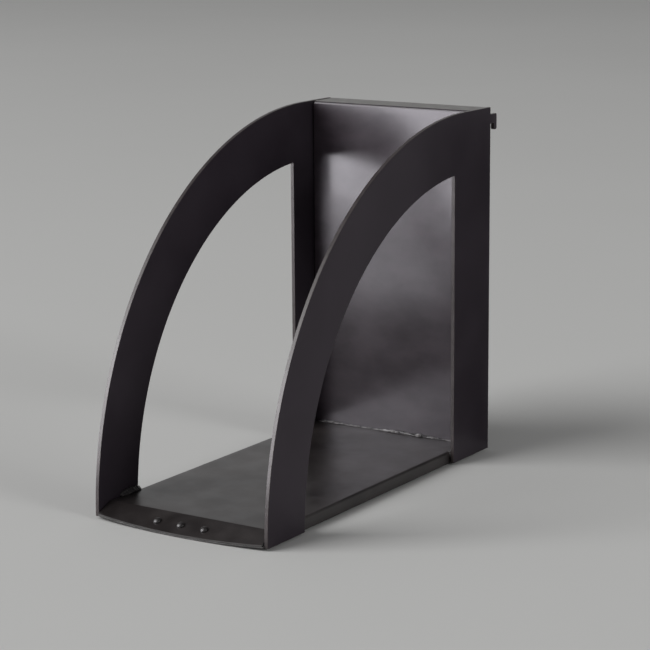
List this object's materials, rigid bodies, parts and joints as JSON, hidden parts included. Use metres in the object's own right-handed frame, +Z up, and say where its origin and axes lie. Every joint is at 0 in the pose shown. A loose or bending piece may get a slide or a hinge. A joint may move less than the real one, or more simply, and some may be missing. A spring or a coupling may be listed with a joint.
{
  "type": "bicycle wall rack",
  "caption": "Slatwall-hung sheet-metal rack with quarter-arch side frames, a recessed back panel and a shallow shelf with a curved, down-turned front lip.",
  "frame": {"origin": "on the top face of the back panel's upper flange, midway between the side frames, in the plane of the wall that the side frames' back edges rest on", "axes": "+X along the wall towards the right side frame, -Y out from the wall towards the lip, +Z up"},
  "size_m": [0.1234, 0.2704, 0.2259],
  "materials": {
    "frame_black": "black satin powder coat with a faint violet cast, lighter and slightly warm on the cut edges",
    "panel_black": "black semi-gloss coat over blackened sheet with an upright grain, cloudy; the top flange is duller and browner",
    "shelf_black": "black satin coat over blackened sheet, slightly cloudy, with lighter cut edges",
    "strip_black": "black matt powder coat, with a lighter cut edge",
    "rivet_black": "black coated domed steel, satin",
    "weld_black": "coated weld bead, rippled, uneven gloss; the bead between the shelf and the back panel has lighter patches"
  },
  "bodies": {
    "root": {"back_panel": "panel_black", "shelf_tray": "shelf_black", "lip_backing_strip": "strip_black", "left_side_frame": "frame_black", "right_side_frame": "frame_black", "lip_rivet_left": "rivet_black", "lip_rivet_centre": "rivet_black", "lip_rivet_right": "rivet_black", "left_rear_stitch_lower": "weld_black", "left_rear_stitch_middle": "weld_black", "left_rear_stitch_upper": "weld_black", "right_rear_stitch_lower": "weld_black", "right_rear_stitch_middle": "weld_black", "right_rear_stitch_upper": "weld_black", "left_foot_weld": "weld_black", "left_strip_weld": "weld_black", "right_foot_weld": "weld_black", "right_strip_weld": "weld_black", "shelf_back_weld": "weld_black"}
  },
  "joints": []
}
